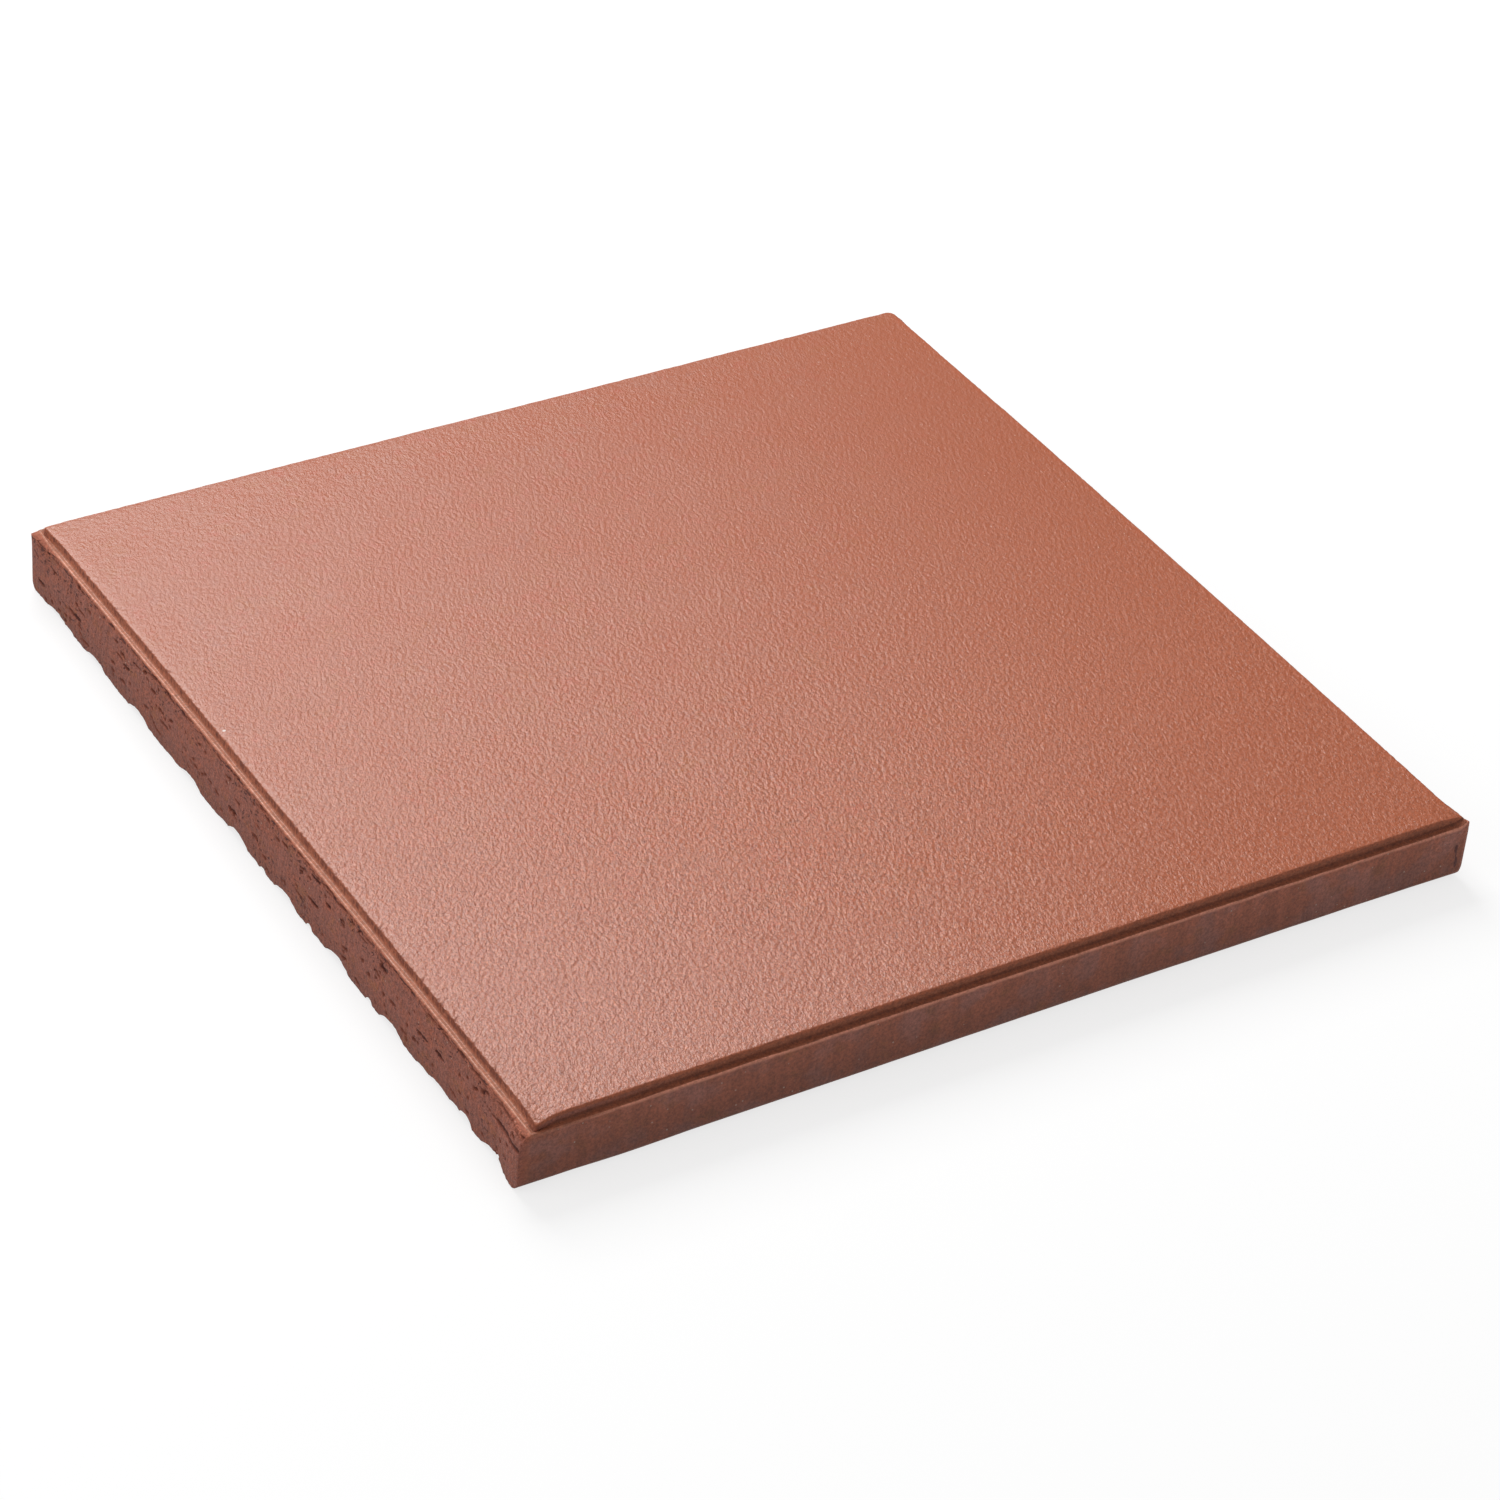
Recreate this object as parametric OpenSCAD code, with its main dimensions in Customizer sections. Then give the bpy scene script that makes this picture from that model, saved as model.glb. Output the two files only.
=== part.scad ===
// Square unglazed floor tile, fired in one piece from extruded clay.
// It lies flat: +X runs along the underside's grooves, +Y across them and +Z is up.
// The origin is at the middle of the underside.

/* [Tile] */
// Length along the grooves, over the two cut ends
tile_l = 202; // [120:1:330]
// Width across the grooves, over the two smooth long sides
tile_w = 200; // [120:1:330]
// Thickness from the underside to the middle of the walking face
tile_t = 15; // [10:0.5:30]

/* [Walking face] */
// Width of the level ledge round the raised walking face
ledge_w = 1.4; // [0.6:0.1:5]
// Height of the walking face above the ledge
riser_h = 1.95; // [0.5:0.05:4]
// Rise of the middle of the walking face above its long edges
crown_h = 0.55; // [0:0.05:1.5]
// Rounding of the walking face's two long edges
arris_r = 0.8; // [0.1:0.1:2]

/* [Cut ends] */
// How far each cut end stands out past the ledge's outer edge
lean_w = 1; // [0:0.1:3]
// Height of the upright foot of a cut end, which leans out from the ledge down to it
foot_h = 4; // [0.5:0.5:4]

/* [Underside] */
// Distance from the middle of one groove to the next
groove_pitch = 20; // [14:0.5:40]
// Width of a groove where it meets the underside
groove_w = 9; // [4:0.5:12]
// Depth of a groove
groove_d = 1.4; // [0.4:0.1:2]
// Rounding where the underside turns up into the long sides
edge_r = 2.5; // [0.5:0.5:5]

/* [Hidden] */
$fn = 64;
clay = [0.68, 0.41, 0.34];
// An odd count leaves a level strip along the middle of the crown
crown_strips = 15;
// Level of the ledge at the middle of the tile
ledge_z = tile_t - riser_h;
// The walking face, inside the ledge on all four sides
face_l = tile_l - 2 * (lean_w + ledge_w);
face_w = tile_w - 2 * ledge_w;
// The arris rounding stays within the riser
face_r = min(arris_r, riser_h);
// Lowest level of the ledge, along the long sides
low_ledge_z = ledge_z - crown_drop(tile_w / 2);
// The raised face starts this far below the lowest ledge, inside the body
root = 1;
// As many whole grooves as fit between the rounded long edges
groove_room = tile_w - 2 * edge_r - groove_w;
groove_count = 1 + floor(groove_room / groove_pitch);
// Radius of the arc that has the groove's width and depth
groove_r = (pow(groove_w / 2, 2) + pow(groove_d, 2)) / (2 * groove_d);

// Height lost to the crown at the distance y from the middle
function crown_drop(y) = crown_h * pow(2 * y / face_w, 2);

// Upright section of the given width, flat below and crowned above
module crowned_section(width, bottom, top) {
    edge = width / 2;
    crown = [for (i = [0:crown_strips])
        let (y = edge - i * width / crown_strips) [y, top - crown_drop(y)]];
    polygon(concat([[-edge, bottom], [edge, bottom]], crown));
}

// A pair of discs at the same height, one towards each long side
module edge_discs(r, y, z) {
    for (side = [-1, 1])
        translate([side * y, z])
            circle(r);
}

// Keying grooves, as the arcs that the die's ribs leave
module groove_arcs() {
    for (i = [0:groove_count - 1])
        translate([(i - (groove_count - 1) / 2) * groove_pitch, groove_d - groove_r])
            circle(groove_r);
}

// Section of the body across the grooves, up to the ledge's level
module body_section() {
    difference() {
        union() {
            crowned_section(tile_w, edge_r, ledge_z);
            translate([edge_r - tile_w / 2, 0])
                square([tile_w - 2 * edge_r, 2 * edge_r]);
            edge_discs(edge_r, tile_w / 2 - edge_r, edge_r);
        }
        groove_arcs();
    }
}

// Section of the raised face, which starts inside the body
module face_section() {
    base_z = low_ledge_z - root;
    inner_w = face_w - 2 * face_r;
    disc_z = tile_t - crown_drop(inner_w / 2) - face_r;
    crowned_section(inner_w, base_z, tile_t);
    edge_discs(face_r, inner_w / 2, disc_z);
    translate([-face_w / 2, base_z])
        square([face_w, disc_z - base_z]);
}

// Outline of the two cut ends seen along the tile's width, from upright feet to leaning tops
module end_outline() {
    end = tile_l / 2;
    arris = end - lean_w;
    polygon([[-end, 0], [end, 0], [end, foot_h], [arris, low_ledge_z],
             [arris, tile_t], [-arris, tile_t], [-arris, low_ledge_z], [-end, foot_h]]);
}

// Stretches a section into a bar along X
module along_x(length) {
    rotate([90, 0, 90])
        linear_extrude(height = length, center = true)
            children();
}

module tile() {
    color(clay) {
        intersection() {
            along_x(tile_l)
                body_section();
            rotate([90, 0, 0])
                linear_extrude(height = tile_w, center = true)
                    end_outline();
        }
        along_x(face_l)
            face_section();
    }
}

tile();
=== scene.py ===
import math
import random

import bpy
import numpy as np
from mathutils import Matrix, Vector, noise


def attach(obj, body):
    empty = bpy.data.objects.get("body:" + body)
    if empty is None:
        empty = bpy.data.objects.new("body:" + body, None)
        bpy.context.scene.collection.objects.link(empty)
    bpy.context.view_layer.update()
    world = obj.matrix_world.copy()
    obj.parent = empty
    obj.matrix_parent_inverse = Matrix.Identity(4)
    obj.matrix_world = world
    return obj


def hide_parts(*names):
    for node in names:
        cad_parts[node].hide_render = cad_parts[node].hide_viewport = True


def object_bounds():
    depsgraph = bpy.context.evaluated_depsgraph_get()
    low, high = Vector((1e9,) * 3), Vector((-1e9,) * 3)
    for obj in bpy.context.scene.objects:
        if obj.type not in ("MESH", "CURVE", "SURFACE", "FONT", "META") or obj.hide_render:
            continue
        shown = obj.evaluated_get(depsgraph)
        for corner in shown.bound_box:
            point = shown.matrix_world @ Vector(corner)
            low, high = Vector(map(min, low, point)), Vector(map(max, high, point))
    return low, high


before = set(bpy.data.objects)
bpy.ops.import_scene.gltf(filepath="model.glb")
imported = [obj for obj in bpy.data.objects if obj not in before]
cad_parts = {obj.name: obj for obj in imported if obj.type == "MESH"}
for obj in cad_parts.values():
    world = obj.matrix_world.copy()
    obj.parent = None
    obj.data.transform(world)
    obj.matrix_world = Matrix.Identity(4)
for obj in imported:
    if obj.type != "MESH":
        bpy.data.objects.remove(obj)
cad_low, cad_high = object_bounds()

# One fired clay floor tile, lying flat. Sizes below are in millimetres, as in the CAD model:
# +X runs along the grooves of the underside, +Y across them, +Z up from the underside.
MM = 0.001
HALF_X = cad_high.x / MM
HALF_Y = cad_high.y / MM
TOP_Z = cad_high.z / MM

# Shape of the tile, as its CAD model has it
LEDGE_W = 1.4
RISER_H = 1.95
CROWN_ACROSS = 0.55
LEAN_W = 1.0
GROOVE_W = 9.0
GROOVE_D = 1.4
EDGE_R = 2.5
FACE_X = HALF_X - LEAN_W - LEDGE_W
FACE_Y = HALF_Y - LEDGE_W

# The crown that firing added along the tile
CROWN_ALONG = 0.2

# Rings of points from the walking face out to the side walls, each (distance out from the
# face's edge, depth below the face). The cut ends have a crisper arris than the long sides.
CUT_RINGS = [
    (-4.0, 0.0), (-1.2, 0.0), (-0.2, 0.01), (-0.1, 0.03), (-0.03, 0.1), (0.0, 0.22), (0.05, 1.68),
    (0.12, 1.88), (0.32, RISER_H), (0.72, 2.0), (1.08, 1.93), (1.32, 1.97), (LEDGE_W, 2.12),
]
LONG_RINGS = [
    (-4.0, 0.0), (-1.4, 0.0), (-0.16, 0.01), (0.0, 0.04), (0.12, 0.16), (0.17, 0.4), (0.12, 1.6),
    (0.16, 1.89), (0.34, RISER_H), (0.74, 1.97), (1.1, 1.95), (1.34, 1.98), (LEDGE_W, 2.14),
]
# How far from a corner the two kinds of ring blend into each other
RING_BLEND = 3.0
# The ring that is the face's arris
FACE_ARRIS = 3


def ring_runs(rings):
    """Distance of each ring down the profile from the face's arris, in mm."""
    steps = np.hypot(*np.diff(np.array(rings), axis=0).T)
    return np.concatenate([[0], np.cumsum(steps)]) - np.sum(steps[:FACE_ARRIS])


CUT_RUNS = ring_runs(CUT_RINGS)
LONG_RUNS = ring_runs(LONG_RINGS)

# Columns of points along each cut end and each long side, rows down their walls, and the
# rows and columns of the grids over the walking face and the underside. The face's grid stays
# FACE_GAP mm inside its innermost ring.
CUT_COLUMNS = 660
LONG_COLUMNS = 230
CUT_ROWS = 42
LONG_ROWS = 9
FACE_CELLS = 56
FACE_GAP = 3
UNDER_ROWS = 190
UNDER_COLUMNS = 44

random.seed(7)


def smooth_step(t):
    """Eases 0 to 1, flat at both ends."""
    t = np.clip(t, 0, 1)
    return t * t * (3 - 2 * t)


def ruggedness(points, size, seed, octaves=3):
    """Noise from about -1 to 1 at each point, with lumps size mm or (x, y, z) mm wide."""
    sizes = (size,) * 3 if isinstance(size, (int, float)) else size
    scale = Vector([1 / wide for wide in sizes])
    shift = Vector((17.3 * seed, -9.1 * seed, 5.7 * seed))
    return np.array([noise.fractal(Vector(p) * scale + shift, 1.0, 2.0, octaves) for p in points])


def stack(*columns):
    """Columns of numbers as an array of points."""
    return np.stack(np.broadcast_arrays(*columns), axis=-1).astype(float)


# What the material knows about each point: its share of pore or crack, of cut end, of side
# wall or underside, and of long side's ledge, and how far down the edge's profile it lies from
# the face's arris, in mm
MARKS = ("pit", "cut", "side", "long", "run")


class Shell:
    """The points and faces of one closed mesh, put together from grids and strips."""

    def __init__(self):
        self.points = []
        self.marks = {name: [] for name in MARKS}
        self.faces = []
        self.count = 0

    def add(self, points, **marks):
        """Adds an array of points and returns an array of their numbers, in the same layout."""
        shape = points.shape[:-1]
        size = int(np.prod(shape))
        self.points.append(points.reshape(-1, 3))
        for name in MARKS:
            self.marks[name].append(np.broadcast_to(marks.get(name, 0.0), shape).reshape(-1))
        self.count += size
        return np.arange(self.count - size, self.count).reshape(shape)

    def grid(self, numbers):
        """Fills a (rows, columns) array of points with quads."""
        corners = (numbers[:-1, :-1], numbers[1:, :-1], numbers[1:, 1:], numbers[:-1, 1:])
        quads = np.stack(corners, axis=-1).reshape(-1, 4)
        self.faces.extend(quads.tolist())

    def strip(self, upper, lower):
        """Fills between two chains of points that run side by side, with triangles."""
        at = np.concatenate(self.points)
        along = [self.shares(at[chain]) for chain in (upper, lower)]
        i = j = 0
        while i < len(upper) - 1 or j < len(lower) - 1:
            next_upper = along[0][i + 1] if i < len(upper) - 1 else 2
            next_lower = along[1][j + 1] if j < len(lower) - 1 else 2
            if next_upper <= next_lower:
                self.faces.append([int(upper[i]), int(lower[j]), int(upper[i + 1])])
                i += 1
            else:
                self.faces.append([int(upper[i]), int(lower[j]), int(lower[j + 1])])
                j += 1

    @staticmethod
    def shares(chain):
        """Distance along a chain of points at each of them, from 0 to 1."""
        steps = np.linalg.norm(np.diff(chain, axis=0), axis=1)
        total = np.concatenate([[0], np.cumsum(steps)])
        return total / total[-1]

    def mesh(self, name):
        """The finished mesh in metres, with the marks of its points as attributes."""
        made = bpy.data.meshes.new(name)
        made.from_pydata((np.concatenate(self.points) * MM).tolist(), [], self.faces)
        for mark, values in self.marks.items():
            layer = made.attributes.new(mark, "FLOAT", "POINT")
            layer.data.foreach_set("value", np.concatenate(values).astype(np.float32))
        made.polygons.foreach_set("use_smooth", np.ones(len(made.polygons), dtype=bool))
        return made


# ---- Shape of the faces -------------------------------------------------------------------

def crown_drop(x, y):
    """How far the walking face and ledge have dropped below their middle."""
    return CROWN_ALONG * (x / HALF_X) ** 2 + CROWN_ACROSS * (y / FACE_Y) ** 2


# The ten grooves as they came out of the die and the kiln, 20 mm apart in the CAD: (y, depth)
GROOVES = [
    (-89.6, 1.3), (-70.0, 1.05), (-52.0, 1.5), (-31.3, 1.5), (-10.8, 1.3),
    (8.9, 1.7), (29.0, 1.2), (51.5, 1.3), (70.5, 1.2), (88.2, 0.9),
]
# Rounding of the long bottom edges as it varies along the tile, as (x, radius) points
EDGE_RADII = [
    (-101, 2.5), (-90, 2.3), (-80, 1.9), (-65, 2.4), (-10, EDGE_R), (25, 2.8), (50, EDGE_R),
    (70, 2.3), (88, 2.2), (101, 1.8),
]


def edge_radius(x):
    """Rounding of the long bottom edges at x."""
    return np.interp(x, *zip(*EDGE_RADII))


def groove_profile(x, y):
    """Height of the underside: lands at 0, arched grooves and rounded long edges."""
    radius = (GROOVE_W ** 2 / 4 + GROOVE_D ** 2) / (2 * GROOVE_D)
    grooves = np.zeros_like(y)
    for centre, depth in GROOVES:
        arch = np.sqrt(np.maximum(radius ** 2 - (y - centre) ** 2, 0)) - (radius - GROOVE_D)
        grooves = np.maximum(grooves, arch * depth / GROOVE_D)
    rounding = edge_radius(x)
    inward = np.clip(np.abs(y) - (HALF_Y - rounding), 0, rounding)
    edges = rounding - np.sqrt(rounding ** 2 - inward ** 2)
    return np.maximum(grooves, edges)


# Chips out of the lands at the left cut end: (y, half width, depth)
LAND_CHIPS = [
    (-79.5, 2.4, 1.7), (-76.0, 2.6, 1.0), (-64.0, 2.2, 0.5), (-43.7, 1.2, 0.9), (-20.3, 1.1, 0.9),
    (-1.6, 1.1, 0.7), (3.0, 3.0, 0.3), (14.5, 2.2, 0.5), (37.0, 2.0, 0.3), (64.5, 2.0, 0.3),
    (83.0, 2.0, 0.5),
]
# How far from that end the chips reach under the tile
CHIP_REACH = 7


def underside(x, y):
    """Height of the underside, with what extrusion and cutting left on it."""
    points = stack(x, y, 0 * x).reshape(-1, 3)
    drawn = ruggedness(points, (90, 2.6, 1), 3).reshape(x.shape)
    lumps = ruggedness(points, (5, 2.2, 1), 4).reshape(x.shape)
    height = groove_profile(x, y) + 0.14 * np.maximum(drawn + 0.3, 0) + 0.1 * np.maximum(lumps, 0)
    for at, half, depth in LAND_CHIPS:
        bump = np.maximum(1 - ((y - at) / half) ** 2, 0)
        reach = smooth_step((CHIP_REACH - x - HALF_X) / CHIP_REACH)
        height = np.maximum(height, depth * bump ** 0.5 * reach)
    return height


# What the four corners look like, each by its (x side, y side): the rounding of the walking
# face, how far the face droops there, how far the cut end flares out beside it at the top,
# how much further than elsewhere it stands out at the foot, and how far the ledge is raised
ROUNDINGS = {(-1, -1): 0.4, (1, -1): 0.4, (1, 1): 1.7, (-1, 1): 0.25}
DROOPS = {(-1, -1): 0.9, (1, -1): 0.0, (1, 1): -0.05, (-1, 1): 0.15}
FLARES = {(-1, -1): 0.8, (1, -1): 0.45, (1, 1): 0.8, (-1, 1): 1.35}
FEET = {(-1, -1): 1.1, (1, -1): -0.4, (1, 1): 0.2, (-1, 1): 0.2}
LEDGE_LIFTS = {(-1, 1): 0.9}
# How far from a corner its droop or lift reaches
DROOP_REACH = 6.0
# Where the corners' flare and foot begin, from a cut end's middle, and how soon they are whole
CORNER_FROM = 90
CORNER_RISE = 9


def corner_value(values, x, y):
    """At each point, the value of the corner that it's nearest to."""
    found = np.zeros(np.broadcast(x, y).shape)
    for (x_side, y_side), value in values.items():
        found = np.where((x * x_side >= 0) & (y * y_side > 0), value, found)
    return found


def near_corner(y):
    """0 along most of a cut end, easing to 1 at its corners."""
    return smooth_step((np.abs(y) - CORNER_FROM) / CORNER_RISE)


def flare(end, y):
    """How far a cut end turns outward towards the corners."""
    return corner_value(FLARES, end, y) * near_corner(y)


def cut_lean(end, y, share):
    """How far a cut end stands out past the straight arris, share of the way down its wall."""
    foot = LEAN_W + corner_value(FEET, end, y) * near_corner(y)
    ease = 1 - (1 - np.clip(share * 1.45, 0, 1)) ** (1.6 + 4 * near_corner(y))
    top = flare(end, y) * smooth_step(share / 0.008)
    return top + (foot - flare(end, y)) * ease


# How far in the right end's foot is broken away at its near corner, and how high up
BROKEN_IN = 1.3
BROKEN_UP = 2.9


def broken_foot(end, y, z):
    """How far the foot of the right end is broken away at its near corner."""
    if end < 0:
        return 0 * z
    low = np.clip(1 - z / BROKEN_UP, 0, 1)
    return BROKEN_IN * low ** 2 * smooth_step((-y - 93) / 3)


# ---- Pores and cracks of the cut ends ------------------------------------------------------

# The larger pores of the left end: (y, z, half length, half height)
LEFT_PORES = [
    (95.3, 3.5, 1.5, 0.3), (80, 11.6, 0.9, 0.25), (90, 9, 1.1, 0.2), (77.5, 7.5, 1.4, 0.2),
    (80, 5.3, 2.6, 0.3), (57.5, 7.5, 1.3, 0.3), (53.5, 10.4, 1.6, 0.15), (46, 9.3, 1.1, 0.3),
    (42, 7.4, 1.1, 0.3), (40, 5.5, 2, 0.2), (43, 2.4, 1.6, 0.2), (14, 10.4, 1.2, 0.25),
    (11, 5.2, 2, 0.25), (9.5, 8, 1, 0.2), (2, 5.4, 1.5, 0.2), (-9, 10.8, 1.3, 0.25),
    (-21, 11.4, 1.8, 0.2), (-26.5, 9.4, 1, 0.35), (-21.5, 6.6, 1.7, 0.35), (-16, 4.8, 1.5, 0.2),
    (-32, 9.8, 0.9, 0.25), (-39.5, 11, 1.5, 0.2), (-47.5, 10.2, 1.4, 0.4), (-43, 5.9, 0.6, 0.35),
    (-63, 6.8, 2.2, 0.2), (-69.5, 7.1, 1.7, 0.3), (-84, 9.8, 0.8, 0.2), (-57, 3, 2.2, 0.15),
]
# The crack that runs out of the left end's near corner, as (y, z) points
CORNER_CRACK = [
    (-85, 8.7), (-88, 8.2), (-90.5, 8.2), (-92.6, 8.4), (-94.8, 8.7), (-97.3, 8.8), (-100, 9.1),
]
# Its half width as a hairline, how much wider it opens, and its depth
CRACK_HAIR = 0.05
CRACK_OPEN = 0.42
CRACK_DEPTH = 0.5
# How many larger pores the hidden right end has, and small ones each end
RIGHT_PORES = 28
SMALL_PORES = 120


def pore_list(end):
    """All pores of one cut end: (y, z, half length, half height, tilt)."""
    pores = []
    if end < 0:
        pores += [(y, z, a, b, random.uniform(-0.08, 0.08)) for y, z, a, b in LEFT_PORES]
    else:
        for _ in range(RIGHT_PORES):
            y, z = random.uniform(-95, 95), random.uniform(2.5, 11.5)
            long, high = random.uniform(0.8, 2.4), random.uniform(0.18, 0.36)
            pores.append((y, z, long, high, random.uniform(-0.1, 0.1)))
    for _ in range(SMALL_PORES):
        y, z = random.uniform(-98, 98), random.uniform(0.8, 12.0)
        long = 0.3 + 0.9 * random.random() ** 2
        pores.append((y, z, long, random.uniform(0.16, 0.3), random.uniform(-0.3, 0.3)))
    return pores


def torn_arris(y, down):
    """Depth of the thin cracks that the cutting wire tore just under a cut end's arris."""
    points = stack(0 * y, y, down).reshape(-1, 3)
    torn = ruggedness(points, (1, 2.6, 0.45), 61).reshape(y.shape)
    often = ruggedness(points, (1, 14, 50), 62).reshape(y.shape)
    band = smooth_step(down / 0.25) * smooth_step((1.5 - down) / 0.9)
    more = 0.16 * smooth_step((40 - y) / 60)
    return 0.45 * band * np.clip((torn + 0.35 * often + more - 0.3) * 5, 0, 1)


def corner_crack(y, z, ragged):
    """Share of the near corner's crack at each point of the left end."""
    along, heights = zip(*CORNER_CRACK)
    crack = np.interp(-y, [-at for at in along], heights, left=-99)
    gap = np.abs(z - crack - 0.12 * ragged)
    width = CRACK_HAIR + CRACK_OPEN * smooth_step((-y - 88) / 4)
    return np.clip(1.3 - gap / width, 0, 1)


def cut_relief(end, y, z):
    """Depth of the pores, cracks and drag marks of a cut end's points, and their share of pit."""
    points = stack(0 * y, y, z).reshape(-1, 3)
    ragged = ruggedness(points, (1, 1.1, 0.5), 11 + end).reshape(y.shape)
    drag = ruggedness(points, (1, 6, 1.3), 21 + end).reshape(y.shape)
    depth = 0.06 * drag + 0.03 * ragged
    pit = np.zeros_like(y)
    for at_y, at_z, long, high, tilt in pore_list(end):
        near = (np.abs(y - at_y) < long + 1) & (np.abs(z - at_z) < high + 1)
        across = z[near] - at_z - tilt * (y[near] - at_y)
        reach = ((y[near] - at_y) / long) ** 2 + (across / high) ** 2
        hole = np.clip(1.1 - reach - 0.55 * ragged[near], 0, 1) ** 0.5
        depth[near] = np.maximum(depth[near], hole * min(0.9, 0.25 + 1.6 * high))
        pit[near] = np.maximum(pit[near], hole)
    if end < 0:
        opened = corner_crack(y, z, ragged)
        depth = np.maximum(depth, CRACK_DEPTH * opened)
        pit = np.maximum(pit, opened)
    down = TOP_Z - RISER_H - crown_drop(HALF_X, y) - z
    torn = torn_arris(y, down)
    return np.maximum(depth, torn), np.maximum(pit, np.clip(torn * 2, 0, 1) * 0.8)


# ---- The mesh ------------------------------------------------------------------------------

def round_corner(x, y, half_x, half_y, radius):
    """Moves points of a rectangle's outline onto its rounded corners."""
    centre_x, centre_y = np.sign(x) * (half_x - radius), np.sign(y) * (half_y - radius)
    out_x, out_y = x - centre_x, y - centre_y
    at_corner = (out_x * np.sign(x) > 0) & (out_y * np.sign(y) > 0)
    length = np.maximum(np.hypot(out_x, out_y), 1e-9)
    return (
        np.where(at_corner, centre_x + out_x / length * radius, x),
        np.where(at_corner, centre_y + out_y / length * radius, y),
    )


def spaced(count, bunched):
    """Places along a side from -1 to 1, bunched closer together near its two corners."""
    even = np.linspace(-1, 1, count + 1)
    return even + bunched / math.pi * np.sin(math.pi * even)


def outline(half_x, half_y):
    """A rectangle's outline as points, from the near left corner and anticlockwise from above."""
    long_way, cut_way = spaced(LONG_COLUMNS, 0.6), spaced(CUT_COLUMNS, 0.15)
    x = np.concatenate([long_way[:-1], np.ones(CUT_COLUMNS), -long_way[:-1], -np.ones(CUT_COLUMNS)])
    y = np.concatenate([-np.ones(LONG_COLUMNS), cut_way[:-1], np.ones(LONG_COLUMNS), -cut_way[:-1]])
    return half_x * x, half_y * y


def side_slices():
    """Where each side's chain of points lies in an outline: front, right, back and left."""
    starts = np.cumsum([0, LONG_COLUMNS, CUT_COLUMNS, LONG_COLUMNS, CUT_COLUMNS])
    return [np.arange(starts[i], starts[i + 1] + 1) % starts[-1] for i in range(4)]


def cut_share(x, y, half_x, half_y):
    """1 on the cut ends, 0 on the long sides, with a blend round the corners."""
    from_cut, from_long = half_x - np.abs(x), half_y - np.abs(y)
    inside_long = smooth_step(from_long / RING_BLEND)
    inside_cut = smooth_step(from_cut / RING_BLEND)
    return 0.5 + 0.5 * inside_long - 0.5 * inside_cut


def near_corner_drop(x, y):
    """Share of a corner's droop at each point of the walking face's rings."""
    away = np.hypot(np.abs(x) - FACE_X, np.abs(y) - FACE_Y)
    return np.maximum(1 - away / DROOP_REACH, 0) ** 2


# How far firing moved the face's arris out: at the back in a bow towards the right, at the
# right end short of its back corner, and at the left end's back corner
BACK_BOW = 0.6
RIGHT_SWELL = 0.22
LEFT_SWELL = 0.35


def out_of_square(x, y, hold):
    """Moves the face's arris to where firing left it."""
    far = smooth_step((y - FACE_Y + 5) / 4) * smooth_step((x - 5) / 110)
    right = smooth_step((x - FACE_X + 5) / 4) * (1 - smooth_step((y - 40) / 40))
    left = smooth_step((-x - FACE_X + 5) / 4) * smooth_step((y - FACE_Y + 9) / 8)
    return x + (RIGHT_SWELL * right - LEFT_SWELL * left) * hold, y + BACK_BOW * hold * far


# Where the cutting wire drew the right near corner of the face to
DRAWN_X = 100.0
DRAWN_Z = 13.5


def drawn_corner(points, half, place, hold):
    """Draws the face out over the ledge at the right near corner, as the cutting wire did."""
    x, y, z = np.moveaxis(points, -1, 0)
    reach = 4.5 if place < 0.45 else 1.3
    share = smooth_step((x - half[0] + reach) / reach) * smooth_step((6 - y - half[1]) / 6) * hold
    x = x + (DRAWN_X + 0.4 * place - x) * share
    z = z + (DRAWN_Z - 0.45 * place - z) * share
    return stack(x, y, z)


# Rounding of the ledge's corners
LEDGE_ROUNDING = 0.5


def ring_points(number, cut_ring, long_ring):
    """One ring of points between the walking face and the side walls."""
    place = number / (len(CUT_RINGS) - 1)
    half = (FACE_X + cut_ring[0], FACE_Y + long_ring[0])
    x, y = outline(*half)
    share = cut_share(x, y, *half)
    radius = corner_value(ROUNDINGS, x, y) if place < 0.6 else LEDGE_ROUNDING
    x, y = round_corner(x, y, *half, radius)
    depth = long_ring[1] + (cut_ring[1] - long_ring[1]) * share
    z = TOP_Z - depth - crown_drop(x, y)
    on_face = 1 - smooth_step((place - 0.45) / 0.4)
    droop = near_corner_drop(x, y) * on_face
    z = z - corner_value(DROOPS, x, y) * droop
    z = z + corner_value(LEDGE_LIFTS, x, y) * near_corner_drop(x, y) * (1 - on_face)
    y = y + np.sign(y) * 0.4 * droop * (corner_value(DROOPS, x, y) > 0.5)
    x, y = out_of_square(x, y, on_face)
    return drawn_corner(stack(x, y, z), half, place, min(1, number * 0.4))


# How much of the face's arris's wear, and of the ledge's arris's, reaches each ring
FACE_WEAR = np.array([0, 0, 0.6, 1, 1, 0.6, 0.2, 0.1, 0.1, 0, 0, 0, 0])[:, None]
LEDGE_WEAR = np.array([0, 0, 0, 0, 0, 0, 0, 0, 0.1, 0.2, 0.5, 1, 1])[:, None]

# Nicks across the face's arris along the left end: (y, slant), their half width and depth
NICKS = [
    (43.8, 0.4), (-21.8, 0.5), (-25.0, -0.3), (-42.0, 0.5), (-50.7, 0.6), (-64.0, 0.8),
    (-65.2, 0.8), (-70.0, 0.6), (-77.0, 0.5), (12.0, 0.3), (67.0, -0.4), (-58.0, 0.4),
    (-84.5, -0.3), (-9.0, 0.4),
]
NICK_HALF = 0.24
NICK_DEPTH = 0.35


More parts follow.
